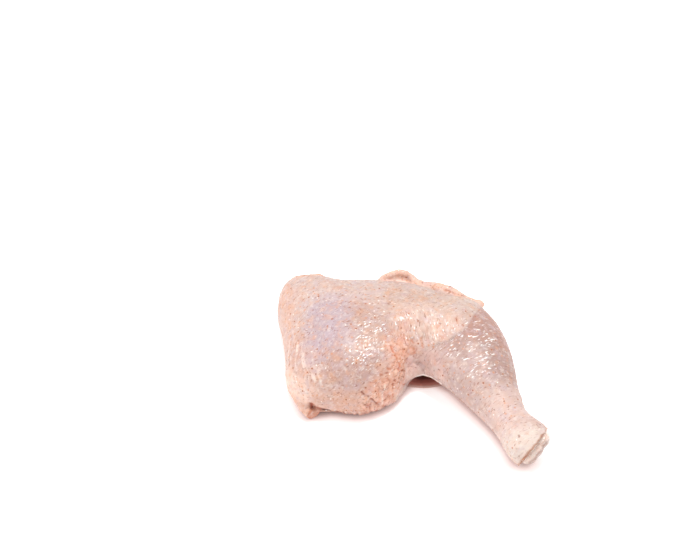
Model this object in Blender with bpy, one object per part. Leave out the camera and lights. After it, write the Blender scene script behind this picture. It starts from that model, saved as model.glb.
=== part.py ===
"""Raw chicken leg quarter, skin on, lying skin side up on a flat surface.

The thigh is a broad flat cushion of meat with a squarish outline, the drumstick leaves it at the knee and
tapers to the hock, which is cut off at a slant so that the capped end of the shank bone shows.  Lengths are
in millimetres in the functions and are turned to metres by MM.  X runs from the hip end to the knee, Y to
the back of the leg, Z up from the surface that it lies on.
"""

import math

import bmesh
import bpy
import numpy as np
from mathutils import Matrix, Vector

MM = 0.001

# The design is drawn from a corner point near the front of the thigh, and ORIGIN is the middle of its box.
ORIGIN = (31.62, 23.44)

# Thigh: a point under its middle, how far its outline reaches every 15 degrees from +X, and its heights.
THIGH_CENTRE = (16.0, 40.0)
THIGH_REACH = (
    56, 57, 55.5, 50.5, 47.5, 45.5, 45, 47, 53, 71.5, 66, 56.5,
    52.5, 53, 57.7, 57, 49.5, 46.3, 41, 34.5, 28.5, 25.5, 27, 39.5,
)
THIGH_HEIGHT = 42.0
THIGH_BELLY_HEIGHT = 15.0
THIGH_PRESSED_FLAT = 1.5
THIGH_TOP_POWER = 2.3
THIGH_UNDERSIDE_POWER = 3.6

# Drumstick: stations from the knee to the hock as (x, y, height of its axis, half width, half height).
DRUMSTICK = (
    (50.0, 60.0, 19.0, 12.0, 11.0),
    (53.0, 52.0, 20.0, 20.0, 17.5),
    (57.5, 42.5, 20.5, 24.0, 20.0),
    (61.8, 33.5, 20.0, 24.8, 20.0),
    (66.9, 24.6, 19.0, 22.4, 19.0),
    (71.4, 15.0, 17.4, 19.2, 17.4),
    (75.5, 6.2, 15.2, 15.8, 15.2),
    (79.6, -2.0, 12.8, 12.8, 12.8),
    (84.4, -12.5, 11.0, 10.3, 10.8),
    (88.0, -20.0, 11.2, 10.9, 10.6),
    (91.6, -27.0, 12.2, 12.8, 11.8),
    (95.2, -34.0, 12.4, 13.2, 12.0),
    (98.6, -40.0, 12.0, 10.5, 9.8),
    (100.4, -43.5, 11.6, 5.0, 4.6),
)
DRUMSTICK_SIDES = 32

# Meat over the knee joint, and the meat that fills the angle between thigh and drumstick.
KNEE = ((57.5, 47.0, 20.5), (20.0, 22.0, 19.0), -60.0)
KNEE_ANGLE = ((40.0, 34.5, 24.8), (12.0, 13.0, 8.0), 0.0)
# Skin stretched across that angle, with a thin free edge below.
WEB_SKIN = (
    (27.0, 13.5, 15.5, 2.0, 4.5),
    (30.8, 18.8, 16.0, 2.2, 4.8),
    (35.5, 22.8, 15.8, 2.3, 5.2),
    (40.5, 24.2, 16.3, 2.4, 5.2),
    (45.3, 22.8, 15.0, 2.4, 5.4),
    (50.0, 18.0, 14.5, 2.5, 5.2),
    (54.5, 12.5, 14.5, 2.6, 5.0),
)
# Dark meat low in that angle, under the edge of its skin.
WEB_MEAT = ((40.0, 36.0, 1.0), (18.0, 9.5, 6.5))

# Skin edge rolled up along the back of the thigh: (x, y, height, half thickness, half height).
SKIN_ROLL = (
    (15.5, 80.5, 27.4, 1.3, 1.3),
    (19.0, 81.0, 31.0, 1.8, 1.8),
    (23.5, 81.0, 33.0, 2.0, 2.0),
    (27.5, 81.0, 34.6, 2.1, 2.1),
    (31.3, 80.5, 34.4, 2.1, 2.1),
    (34.4, 80.0, 32.0, 2.0, 2.0),
    (37.5, 77.8, 30.4, 2.0, 2.0),
    (41.4, 76.4, 29.6, 2.0, 2.0),
    (45.9, 74.6, 30.4, 2.1, 2.1),
    (51.0, 72.4, 31.4, 2.1, 2.1),
    (55.4, 69.8, 31.9, 2.0, 2.0),
    (59.0, 67.4, 31.5, 1.8, 1.8),
    (62.0, 66.0, 30.6, 1.5, 1.5),
    (66.0, 65.3, 28.8, 1.1, 1.1),
    (69.5, 63.6, 28.6, 1.2, 1.1),
    (72.5, 62.2, 28.4, 2.2, 1.6),
    (75.0, 60.8, 27.4, 1.8, 1.2),
)
# The thin inner skin that holds the roll up from the meat.
SKIN_FLAP = (
    (14.0, 80.3, 20.0, 1.2, 6.0),
    (20.0, 81.0, 22.5, 2.0, 9.5),
    (27.0, 80.4, 23.5, 3.1, 11.0),
    (33.0, 79.7, 23.0, 3.1, 9.5),
    (40.0, 77.0, 22.0, 3.0, 8.0),
    (45.0, 72.6, 26.0, 3.4, 5.5),
    (50.0, 70.2, 27.4, 3.4, 4.8),
    (56.0, 67.2, 28.6, 3.0, 3.8),
    (62.0, 64.4, 27.8, 2.4, 2.9),
)
# Edge of the skin along the back at the hip end.
HIP_LIP = (
    (-34.0, 83.6, 21.8, 0.9, 0.9),
    (-28.0, 86.5, 24.9, 1.5, 1.5),
    (-22.0, 87.3, 26.4, 1.6, 1.6),
    (-17.0, 87.1, 26.6, 1.4, 1.4),
    (-12.0, 85.8, 25.8, 0.8, 0.8),
)
# Corner of loose skin rolled to a short cone at the front of the hip end.
CORNER_ROLL = (
    (-30.0, 16.0, 10.0, 2.6, 2.6),
    (-27.5, 9.5, 8.6, 4.0, 4.0),
    (-24.0, 4.0, 6.8, 4.6, 4.6),
    (-20.6, 0.2, 5.5, 4.6, 4.7),
    (-19.3, -1.6, 5.3, 4.0, 4.1),
)
THIN_SIDES = 14

# Relief pressed into the skin along lines: depth, less than nothing where it stands up, width and points.
RELIEF = (
    # Line where the thigh's skin ends over the drumstick's muscle.
    (
        1.1,
        3.2,
        (
            (70.8, 53.8, 34.1),
            (66.3, 37.2, 39.3),
            (61.0, 29.2, 39.2),
            (53.8, 24.0, 36.7),
            (46.9, 23.7, 33.3),
        ),
    ),
    # Hollow beside the hip muscle.
    (
        1.8,
        5.0,
        (
            (-20.7, 35.7, 35.5),
            (-18.3, 26.1, 36.2),
            (-16.0, 11.7, 35.6),
            (-13.3, 3.8, 32.1),
            (-10.1, -1.1, 25.8),
        ),
    ),
    # Hip muscle and the long front muscle of the thigh.
    (-1.6, 10.0, ((-9.0, 38.0, 40.0), (-6.0, 24.0, 39.0))),
    (-1.2, 8.0, ((2.0, 14.0, 36.5), (12.0, 12.0, 36.5), (22.0, 16.0, 36.0))),
    # Creases of the loose skin at the front, beside the rolled corner and towards the knee angle.
    (1.2, 1.8, ((-20.9, -1.6, 10.6), (-18.3, -1.7, 8.6), (-12.9, -0.9, 7.0), (-8.1, -0.8, 4.6))),
    (1.3, 2.4, ((6.0, -1.5, 22.0), (9.0, -2.2, 17.5), (14.0, -2.0, 12.5))),
    (1.0, 2.4, ((15.5, -0.5, 22.0), (19.0, 0.6, 16.0), (23.5, 4.0, 12.0))),
    (-0.9, 2.2, ((25.0, 8.0, 26.0), (29.8, 17.0, 29.0), (32.0, 27.0, 35.0))),
    (-0.9, 2.2, ((33.6, 20.5, 22.5), (36.5, 25.0, 30.0), (38.0, 31.0, 35.0))),
)
# Underside: where the skin's edge lies, as a share of the way out to the thigh's outline.
SKIN_EDGE_BELOW = 0.74
SKIN_EDGE_RELIEF = (3.2, 2.8)
SKIN_EDGE_STEPS = 48

# The hock is cut through this point, square to this direction.
HOCK_CUT_POINT = (96.2, -31.0, 10.0)
HOCK_CUT_NORMAL = (0.78, -0.5, -0.38)

# Shank bone: its two end lobes and its shaft up to the knee.
BONE_HINGE = (0.588, 0.58, 0.564)
BONE_LOBES = (
    ((98.9, -29.7, 14.5), (5.7, 8.8, 5.4)),
    ((93.0, -35.5, 8.9), (5.4, 8.2, 5.2)),
    ((96.1, -33.0, 11.3), (6.0, 8.4, 5.0)),
)
BONE_SHAFT = (
    (95.0, -31.6, 11.8, 6.0, 6.0),
    (91.5, -24.5, 11.9, 4.6, 4.6),
    (86.0, -14.0, 11.4, 3.9, 3.7),
    (79.0, 1.0, 13.0, 3.9, 3.7),
    (71.0, 18.0, 16.6, 4.3, 4.1),
    (64.0, 33.0, 19.2, 5.2, 5.0),
    (60.5, 40.5, 20.0, 5.8, 5.6),
)
BONE_CLEARANCE = 0.32

BODY_VOXEL = 1.6
BODY_ROUNDS = 14
LEG_VOXEL = 1.0
LEG_ROUNDS = 3
LEG_TRIANGLES = 9400
BONE_VOXEL = 0.7
BONE_ROUNDS = 4
BONE_TRIANGLES = 1300
SHARP_DEGREES = 50.0


def new_object(name, bm):
    mesh = bpy.data.meshes.new(name)
    bm.to_mesh(mesh)
    bm.free()
    obj = bpy.data.objects.new(name, mesh)
    bpy.context.scene.collection.objects.link(obj)
    return obj


def reach_at(angle):
    """The thigh's outline radius at an angle in radians, on a smooth closed curve through THIGH_REACH."""
    count = len(THIGH_REACH)
    place = (angle / (2 * math.pi) % 1.0) * count
    first = int(place)
    t = place - first
    p0, p1, p2, p3 = (THIGH_REACH[(first + step) % count] for step in (-1, 0, 1, 2))
    return 0.5 * (
        2 * p1 + (p2 - p0) * t + (2 * p0 - 5 * p1 + 4 * p2 - p3) * t**2 + (3 * p1 - p0 - 3 * p2 + p3) * t**3
    )


def thigh_mass(bm):
    """A ball moved onto the thigh's outline, domed above its belly line and flatter below."""
    made = bmesh.ops.create_icosphere(bm, subdivisions=6, radius=1.0)
    for vert in made["verts"]:
        x, y, z = vert.co
        level = math.hypot(x, y)
        power = THIGH_TOP_POWER if z > 0 else THIGH_UNDERSIDE_POWER
        out = level ** (2 / power)
        up = math.copysign(abs(z) ** (2 / power), z)
        angle = math.atan2(y, x)
        reach = reach_at(angle) * out
        above = THIGH_HEIGHT - THIGH_BELLY_HEIGHT
        below = THIGH_BELLY_HEIGHT + THIGH_PRESSED_FLAT
        vert.co = Vector(
            (
                THIGH_CENTRE[0] + reach * math.cos(angle),
                THIGH_CENTRE[1] + reach * math.sin(angle),
                THIGH_BELLY_HEIGHT + up * (above if z > 0 else below),
            )
        ) * MM


def limb(bm, stations, sides):
    """Elliptical rings across an axis of stations, bridged one to the next and closed at both ends."""
    places = [Vector(station[:3]) for station in stations]
    rings = []
    for index, (_, _, _, half_width, half_height) in enumerate(stations):
        along = places[min(index + 1, len(places) - 1)] - places[max(index - 1, 0)]
        side = along.cross(Vector((0, 0, 1))).normalized()
        above = side.cross(along).normalized()
        ring = bmesh.ops.create_circle(bm, segments=sides, radius=1.0)["verts"]
        frame = Matrix((side, above, along.normalized())).transposed().to_4x4()
        frame.translation = places[index]
        shape = frame @ Matrix.Diagonal((half_width, half_height, 1.0, 1.0))
        bmesh.ops.transform(bm, matrix=Matrix.Scale(MM, 4) @ shape, verts=ring)
        rings.append(ring)
    for ring, following in zip(rings, rings[1:]):
        edges = {edge for vert in ring + following for edge in vert.link_edges}
        bmesh.ops.bridge_loops(bm, edges=[edge for edge in edges if edge.is_boundary or not edge.link_faces])
    bmesh.ops.holes_fill(bm, edges=[edge for edge in bm.edges if edge.is_boundary], sides=sides)


def ellipsoid(bm, centre, radii, turn):
    made = bmesh.ops.create_icosphere(bm, subdivisions=4, radius=1.0)
    place = Matrix.Translation(Vector(centre)) @ turn
    bmesh.ops.transform(
        bm, matrix=Matrix.Scale(MM, 4) @ place @ Matrix.Diagonal((*radii, 1.0)), verts=made["verts"]
    )


def joined(bm, obj):
    """Adds an object's mesh to the shapes in bm, and removes the object."""
    bm.from_mesh(obj.data)
    bpy.data.objects.remove(obj)


def one_skin(obj, voxel, rounds):
    """The object's mesh made one even surface over all its shapes, then relaxed."""
    remesh = obj.modifiers.new("one_skin", "REMESH")
    remesh.mode = "VOXEL"
    remesh.voxel_size = voxel * MM
    relax = obj.modifiers.new("relax", "SMOOTH")
    relax.factor = 0.5
    relax.iterations = rounds
    apply_modifiers(obj)


def apply_modifiers(obj):
    graph = bpy.context.evaluated_depsgraph_get()
    made = bpy.data.meshes.new_from_object(obj.evaluated_get(graph))
    obj.modifiers.clear()
    old, obj.data = obj.data, made
    bpy.data.meshes.remove(old)


def thinned(obj, triangles):
    """Fewer triangles, most of them kept where the surface bends."""
    count = sum(len(face.vertices) - 2 for face in obj.data.polygons)
    thin = obj.modifiers.new("thin", "DECIMATE")
    thin.ratio = triangles / count
    thin.use_collapse_triangulate = True
    apply_modifiers(obj)


def pressed(obj, depth, width, points):
    """Moves the surface in along its normals, or out for a negative depth, near a line of points."""
    mesh = obj.data
    places = np.empty(len(mesh.vertices) * 3)
    mesh.vertices.foreach_get("co", places)
    places = places.reshape(-1, 3)
    normals = np.empty(len(mesh.vertices) * 3)
    mesh.vertex_normals.foreach_get("vector", normals)
    normals = normals.reshape(-1, 3)
    line = np.array(points) * MM
    near = np.full(len(places), np.inf)
    for start, end in zip(line, line[1:]):
        step = end - start
        share = np.clip((places - start) @ step / (step @ step), 0.0, 1.0)
        near = np.minimum(near, np.linalg.norm(places - start - share[:, None] * step, axis=1))
    move = depth * MM * np.exp(-((near / (width * MM)) ** 2))
    places -= normals * move[:, None]
    mesh.vertices.foreach_set("co", places.ravel())
    mesh.update()


def skin_edge_below():
    """A closed line on the thigh's underside, a share of the way out to its outline."""
    points = []
    for step in range(SKIN_EDGE_STEPS + 1):
        angle = step / SKIN_EDGE_STEPS * 2 * math.pi
        reach = reach_at(angle) * SKIN_EDGE_BELOW
        x = THIGH_CENTRE[0] + reach * math.cos(angle)
        y = THIGH_CENTRE[1] + reach * math.sin(angle)
        points.append((x, y, -THIGH_PRESSED_FLAT))
    return points


def cut_off(obj, point, normal):
    """Cuts away what lies on the normal's side of a plane, and closes the cut."""
    bm = bmesh.new()
    bm.from_mesh(obj.data)
    geometry = bm.verts[:] + bm.edges[:] + bm.faces[:]
    bmesh.ops.bisect_plane(
        bm, geom=geometry, dist=1e-6, plane_co=Vector(point) * MM, plane_no=normal, clear_outer=True
    )
    bmesh.ops.holes_fill(bm, edges=[edge for edge in bm.edges if edge.is_boundary])
    bm.to_mesh(obj.data)
    bm.free()


def bone(name):
    """The shank bone: two lobes side by side across the hock, joined between, and a shaft up to the knee."""
    hinge = Vector(BONE_HINGE).normalized()
    across = Vector(HOCK_CUT_NORMAL).cross(hinge).normalized()
    turn = Matrix((hinge, across, hinge.cross(across))).transposed().to_4x4()
    bm = bmesh.new()
    for centre, radii in BONE_LOBES:
        ellipsoid(bm, centre, radii, turn)
    limb(bm, BONE_SHAFT, THIN_SIDES)
    obj = new_object(name, bm)
    one_skin(obj, BONE_VOXEL, BONE_ROUNDS)
    thinned(obj, BONE_TRIANGLES)
    return obj


def grown(obj, name, by):
    """A copy of an object, larger by the same distance all over."""
    copy = bpy.data.objects.new(name, obj.data.copy())
    bpy.context.scene.collection.objects.link(copy)
    grow = copy.modifiers.new("grow", "DISPLACE")
    grow.mid_level = 0.0
    grow.strength = by * MM
    apply_modifiers(copy)
    return copy


def plain_material(name, colour, roughness):
    material = bpy.data.materials.new(name)
    material.use_nodes = True
    shader = material.node_tree.nodes["Principled BSDF"]
    shader.inputs["Base Color"].default_value = (*colour, 1.0)
    shader.inputs["Roughness"].default_value = roughness
    shader.inputs["Metallic"].default_value = 0.0
    return material


for old in list(bpy.data.objects):
    bpy.data.objects.remove(old)

body = bmesh.new()
thigh_mass(body)
limb(body, DRUMSTICK, DRUMSTICK_SIDES)
for centre, radii, degrees in (KNEE, KNEE_ANGLE):
    ellipsoid(body, centre, radii, Matrix.Rotation(math.radians(degrees), 4, "Z"))
meat = new_object("meat", body)
one_skin(meat, BODY_VOXEL, BODY_ROUNDS)

skin = bmesh.new()
joined(skin, meat)
for fold in (SKIN_ROLL, SKIN_FLAP, HIP_LIP, CORNER_ROLL, WEB_SKIN):
    limb(skin, fold, THIN_SIDES)
ellipsoid(skin, *WEB_MEAT, Matrix.Identity(4))
leg = new_object("leg_quarter", skin)
one_skin(leg, LEG_VOXEL, LEG_ROUNDS)
for depth, width, points in RELIEF:
    pressed(leg, depth, width, points)
pressed(leg, *SKIN_EDGE_RELIEF, skin_edge_below())
thinned(leg, LEG_TRIANGLES)
cut_off(leg, HOCK_CUT_POINT, HOCK_CUT_NORMAL)
cut_off(leg, (0, 0, 0), (0, 0, -1))

shank = bone("shank_bone")
room = grown(shank, "shank_room", BONE_CLEARANCE)
cut = leg.modifiers.new("bone_room", "BOOLEAN")
cut.operation = "DIFFERENCE"
cut.solver = "EXACT"
cut.object = room
apply_modifiers(leg)
bpy.data.objects.remove(room)

for obj, material, colour, roughness in (
    (leg, "chicken_skin", (0.83, 0.60, 0.50), 0.38),
    (shank, "joint_cartilage", (0.80, 0.68, 0.61), 0.3),
):
    obj.data.transform(Matrix.Translation((-ORIGIN[0] * MM, -ORIGIN[1] * MM, 0.0)))
    obj.data.materials.clear()
    obj.data.materials.append(plain_material(material, colour, roughness))
    obj.data.shade_smooth()
    obj.data.set_sharp_from_angle(angle=math.radians(SHARP_DEGREES))
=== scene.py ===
import math

import bmesh
import bpy
import numpy as np
from mathutils import Matrix, Vector, kdtree, noise


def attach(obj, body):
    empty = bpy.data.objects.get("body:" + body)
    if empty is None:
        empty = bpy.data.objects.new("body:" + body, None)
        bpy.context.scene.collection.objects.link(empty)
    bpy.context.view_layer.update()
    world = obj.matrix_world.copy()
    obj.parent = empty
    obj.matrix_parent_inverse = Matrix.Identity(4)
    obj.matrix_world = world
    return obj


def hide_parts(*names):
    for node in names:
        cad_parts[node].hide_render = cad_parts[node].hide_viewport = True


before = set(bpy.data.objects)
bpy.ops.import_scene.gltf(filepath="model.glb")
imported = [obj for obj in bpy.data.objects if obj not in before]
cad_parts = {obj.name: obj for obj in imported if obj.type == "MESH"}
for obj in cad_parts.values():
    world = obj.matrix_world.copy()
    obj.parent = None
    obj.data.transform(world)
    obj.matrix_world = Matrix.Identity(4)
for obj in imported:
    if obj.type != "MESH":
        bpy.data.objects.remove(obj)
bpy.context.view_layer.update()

# The leg: a raw chicken thigh and drumstick in one piece, soft meat under its own loose, wet skin.  The meat is
# made of masses joined to one surface, the rolled and lipped edges of the skin are laid on it, and the surface
# is then creased, wrinkled and pimpled.  Lengths are in millimetres in the functions, MM turns them to metres.
MM = 0.001
ORIGIN = (31.62, 23.44)

THIGH_CENTRE = (16.0, 40.0)
THIGH_REACH = (
    56, 57, 55.5, 50.5, 47.5, 45.5, 45, 47, 53, 71.5, 66, 56.5,
    52.5, 53, 57.7, 57, 49.5, 46.3, 41, 34.5, 28.5, 25.5, 27, 39.5,
)
THIGH_HEIGHT = 42.0
THIGH_BELLY_HEIGHT = 15.0
THIGH_PRESSED_FLAT = 1.5
THIGH_TOP_POWER = 2.3
THIGH_UNDERSIDE_POWER = 3.6
# Stations along the drumstick as (x, y, height of its axis, half width, half height).
DRUMSTICK = (
    (50.0, 60.0, 19.0, 12.0, 11.0),
    (53.0, 52.0, 20.0, 20.0, 17.5),
    (57.5, 42.5, 20.5, 24.0, 20.0),
    (61.8, 33.5, 20.0, 24.8, 20.0),
    (66.9, 24.6, 19.0, 22.4, 19.0),
    (71.4, 15.0, 17.4, 19.2, 17.4),
    (75.5, 6.2, 15.2, 15.8, 15.2),
    (79.6, -2.0, 12.8, 12.8, 12.8),
    (84.4, -12.5, 11.0, 10.3, 10.8),
    (88.0, -20.0, 11.2, 10.9, 10.6),
    (91.6, -27.0, 12.2, 12.8, 11.8),
    (95.2, -34.0, 12.4, 13.2, 12.0),
    (98.6, -40.0, 12.0, 10.5, 9.8),
    (100.4, -43.5, 11.6, 5.0, 4.6),
)
DRUMSTICK_SIDES = 32
KNEE = ((57.5, 47.0, 20.5), (20.0, 22.0, 19.0), -60.0)
KNEE_ANGLE = ((40.0, 34.5, 24.8), (12.0, 13.0, 8.0), 0.0)
# The skin's edge rolled up along the back, the thin inner skin under it, its lip at the hip end, and the
# rolled corner at the front.
SKIN_ROLL = (
    (15.5, 80.5, 27.4, 1.3, 1.3),
    (19.0, 81.0, 31.0, 1.8, 1.8),
    (23.5, 81.0, 33.0, 2.0, 2.0),
    (27.5, 81.0, 34.6, 2.1, 2.1),
    (31.3, 80.5, 34.4, 2.1, 2.1),
    (34.4, 80.0, 32.0, 2.0, 2.0),
    (37.5, 77.8, 30.4, 2.0, 2.0),
    (41.4, 76.4, 29.6, 2.0, 2.0),
    (45.9, 74.6, 30.4, 2.1, 2.1),
    (51.0, 72.4, 31.4, 2.1, 2.1),
    (55.4, 69.8, 31.9, 2.0, 2.0),
    (59.0, 67.4, 31.5, 1.8, 1.8),
    (62.0, 66.0, 30.6, 1.5, 1.5),
    (66.0, 65.3, 28.8, 1.1, 1.1),
    (69.5, 63.6, 28.6, 1.2, 1.1),
    (72.5, 62.2, 28.4, 2.2, 1.6),
    (75.0, 60.8, 27.4, 1.8, 1.2),
)
SKIN_FLAP = (
    (14.0, 80.3, 20.0, 1.2, 6.0),
    (20.0, 81.0, 22.5, 2.0, 9.5),
    (27.0, 80.4, 23.5, 3.1, 11.0),
    (33.0, 79.7, 23.0, 3.1, 9.5),
    (40.0, 77.0, 22.0, 3.0, 8.0),
    (45.0, 72.6, 26.0, 3.4, 5.5),
    (50.0, 70.2, 27.4, 3.4, 4.8),
    (56.0, 67.2, 28.6, 3.0, 3.8),
    (62.0, 64.4, 27.8, 2.4, 2.9),
)
HIP_LIP = (
    (-34.0, 83.6, 21.8, 0.9, 0.9),
    (-28.0, 86.5, 24.9, 1.5, 1.5),
    (-22.0, 87.3, 26.4, 1.6, 1.6),
    (-17.0, 87.1, 26.6, 1.4, 1.4),
    (-12.0, 85.8, 25.8, 0.8, 0.8),
)
CORNER_ROLL = (
    (-30.0, 16.0, 10.0, 2.6, 2.6),
    (-27.5, 9.5, 8.6, 4.0, 4.0),
    (-24.0, 4.0, 6.8, 4.6, 4.6),
    (-20.6, 0.2, 5.5, 4.6, 4.7),
    (-19.3, -1.6, 5.3, 4.3, 4.4),
)
THIN_SIDES = 14

# Depth, less than nothing where the skin stands up, width and points of each large crease and swelling.
RELIEF = (
    (1.1, 3.2, ((70.8, 53.8, 34.1), (66.3, 37.2, 39.3), (61.0, 29.2, 39.2), (53.8, 24.0, 36.7), (46.9, 23.7, 33.3))),
    (
        1.8,
        5.0,
        ((-20.7, 35.7, 35.5), (-18.3, 26.1, 36.2), (-16.0, 11.7, 35.6), (-13.3, 3.8, 32.1), (-10.1, -1.1, 25.8)),
    ),
    (-1.6, 10.0, ((-9.0, 38.0, 40.0), (-6.0, 24.0, 39.0))),
    (-1.2, 8.0, ((2.0, 14.0, 36.5), (12.0, 12.0, 36.5), (22.0, 16.0, 36.0))),
    (1.2, 1.8, ((-20.9, -1.6, 10.6), (-18.3, -1.7, 8.6), (-12.9, -0.9, 7.0), (-8.1, -0.8, 4.6))),
    (0.9, 0.7, ((-20.2, -1.6, 9.4), (-18.3, -1.5, 7.9), (-12.9, -0.6, 6.4), (-8.1, -0.8, 4.6))),
    (1.3, 2.4, ((6.0, -1.5, 22.0), (9.0, -2.2, 17.5), (14.0, -2.0, 12.5))),
    (1.0, 2.4, ((15.5, -0.5, 22.0), (19.0, 0.6, 16.0), (23.5, 4.0, 12.0))),
    (-0.9, 2.2, ((25.0, 8.0, 26.0), (29.8, 17.0, 29.0), (32.0, 27.0, 35.0))),
    (-0.9, 2.2, ((33.6, 20.5, 22.5), (36.5, 25.0, 30.0), (38.0, 31.0, 35.0))),
)
SKIN_EDGE_BELOW = 0.74
SKIN_EDGE_STEPS = 48

# Skin stretched across the knee's angle, with a thin free edge below.
WEB_SKIN = (
    (27.0, 13.5, 15.5, 2.0, 4.5),
    (30.8, 18.8, 15.4, 2.2, 5.0),
    (35.5, 22.8, 14.4, 2.3, 5.6),
    (40.5, 24.2, 14.6, 2.4, 5.8),
    (45.3, 22.8, 13.6, 2.4, 5.8),
    (50.0, 18.0, 13.4, 2.5, 5.6),
    (54.5, 12.5, 14.0, 2.6, 5.2),
)
# A low dark mass under that edge stands for the shade and the floor's shadow there: painted shadow, darkest at its top
# and paler near the floor.
WEB_SHADOW_MASS = ((40.0, 33.5, 1.0), (18.0, 10.5, 6.5))

HOCK_CUT_POINT = (96.2, -31.0, 10.0)
HOCK_CUT_NORMAL = (0.78, -0.5, -0.38)

BODY_VOXEL = 1.6
BODY_ROUNDS = 14
LEG_VOXEL = 0.66
LEG_ROUNDS = 4
# No corner of the mesh is left nearer to a cut than this, so that each cut closes cleanly.
CUT_CLEARANCE = 0.01


def new_object(name, bm):
    mesh = bpy.data.meshes.new(name)
    bm.to_mesh(mesh)
    bm.free()
    obj = bpy.data.objects.new(name, mesh)
    bpy.context.scene.collection.objects.link(obj)
    return obj


def reach_at(angle):
    """The thigh's outline radius at an angle in radians, on a smooth closed curve through THIGH_REACH."""
    count = len(THIGH_REACH)
    place = (angle / (2 * math.pi) % 1.0) * count
    first = int(place)
    t = place - first
    p0, p1, p2, p3 = (THIGH_REACH[(first + step) % count] for step in (-1, 0, 1, 2))
    return 0.5 * (
        2 * p1 + (p2 - p0) * t + (2 * p0 - 5 * p1 + 4 * p2 - p3) * t**2 + (3 * p1 - p0 - 3 * p2 + p3) * t**3
    )


def thigh_mass(bm):
    """A ball with its points moved onto the thigh's outline, domed above its belly line and flatter below."""
    for vert in bmesh.ops.create_icosphere(bm, subdivisions=6, radius=1.0)["verts"]:
        x, y, z = vert.co
        power = THIGH_TOP_POWER if z > 0 else THIGH_UNDERSIDE_POWER
        angle = math.atan2(y, x)
        reach = reach_at(angle) * math.hypot(x, y) ** (2 / power)
        rise = THIGH_HEIGHT - THIGH_BELLY_HEIGHT if z > 0 else THIGH_BELLY_HEIGHT + THIGH_PRESSED_FLAT
        height = THIGH_BELLY_HEIGHT + rise * math.copysign(abs(z) ** (2 / power), z)
        across = THIGH_CENTRE[0] + reach * math.cos(angle)
        vert.co = Vector((across, THIGH_CENTRE[1] + reach * math.sin(angle), height)) * MM


def limb(bm, stations, sides):
    """Elliptical rings across an axis of stations, bridged one to the next and closed at both ends."""
    places = [Vector(station[:3]) for station in stations]
    rings = []
    for index, (_, _, _, half_width, half_height) in enumerate(stations):
        along = places[min(index + 1, len(places) - 1)] - places[max(index - 1, 0)]
        side = along.cross(Vector((0, 0, 1))).normalized()
        above = side.cross(along).normalized()
        ring = bmesh.ops.create_circle(bm, segments=sides, radius=1.0)["verts"]
        turn = Matrix((side, above, along.normalized())).transposed().to_4x4()
        turn.translation = places[index]
        shape = turn @ Matrix.Diagonal((half_width, half_height, 1.0, 1.0))
        bmesh.ops.transform(bm, matrix=Matrix.Scale(MM, 4) @ shape, verts=ring)
        rings.append(ring)
    for ring, following in zip(rings, rings[1:]):
        edges = {edge for vert in ring + following for edge in vert.link_edges}
        bmesh.ops.bridge_loops(bm, edges=[edge for edge in edges if edge.is_boundary or not edge.link_faces])
    bmesh.ops.holes_fill(bm, edges=[edge for edge in bm.edges if edge.is_boundary], sides=sides)


def ellipsoid(bm, centre, radii, turn):
    made = bmesh.ops.create_icosphere(bm, subdivisions=4, radius=1.0)
    place = Matrix.Scale(MM, 4) @ Matrix.Translation(Vector(centre)) @ turn
    bmesh.ops.transform(bm, matrix=place @ Matrix.Diagonal((*radii, 1.0)), verts=made["verts"])


def apply_modifiers(obj):
    graph = bpy.context.evaluated_depsgraph_get()
    made = bpy.data.meshes.new_from_object(obj.evaluated_get(graph))
    obj.modifiers.clear()
    old, obj.data = obj.data, made
    bpy.data.meshes.remove(old)


def one_skin(obj, voxel, rounds):
    """The object's mesh made one even surface over all its shapes, then relaxed."""
    remesh = obj.modifiers.new("one_skin", "REMESH")
    remesh.mode = "VOXEL"
    remesh.voxel_size = voxel * MM
    relax = obj.modifiers.new("relax", "SMOOTH")
    relax.factor = 0.5
    relax.iterations = rounds
    apply_modifiers(obj)


def read(collection, name, width=3):
    values = np.empty(len(collection) * width)
    collection.foreach_get(name, values)
    return values.reshape(-1, width)


def write_places(obj, places):
    obj.data.vertices.foreach_set("co", (places * MM).ravel())
    obj.data.update()


def line_distance(places, points):
    """How far each place is from a line of points."""
    line = np.array(points, float)
    near = np.linalg.norm(places - line[0], axis=1)
    for start, end in zip(line, line[1:]):
        step = end - start
        share = np.clip((places - start) @ step / (step @ step), 0.0, 1.0)
        near = np.minimum(near, np.linalg.norm(places - start - share[:, None] * step, axis=1))
    return near


def crease_distance(places, normals, points):
    """How far each place is from a line of points, measured along the surface that the line lies near."""
    near = np.full(len(places), np.inf)
    for start, end in zip(np.array(points), np.array(points)[1:]):
        step = end - start
        share = np.clip((places - start) @ step / (step @ step), 0.0, 1.0)
        away = places - start - share[:, None] * step
        off = np.sum(away * normals, axis=1)
        along = np.linalg.norm(away - off[:, None] * normals, axis=1)
        near = np.minimum(near, np.where(np.abs(off) < CREASE_REACH, along, np.inf))
    return near


def pressed(obj, depth, width, points):
    """Moves the surface in along its normals, or out for a negative depth, near a line of points."""
    places = read(obj.data.vertices, "co") / MM
    move = depth * np.exp(-((line_distance(places, points) / width) ** 2))
    write_places(obj, places - read(obj.data.vertex_normals, "vector") * move[:, None])


def largest_part(bm):
    """The faces of the largest part that hangs together by its edges."""
    left = set(bm.faces)
    parts = []
    while left:
        reached = [left.pop()]
        for face in reached:
            near = {other for edge in face.edges for other in edge.link_faces} & left
            left -= near
            reached.extend(near)
        parts.append(reached)
    return set(max(parts, key=len))


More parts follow.
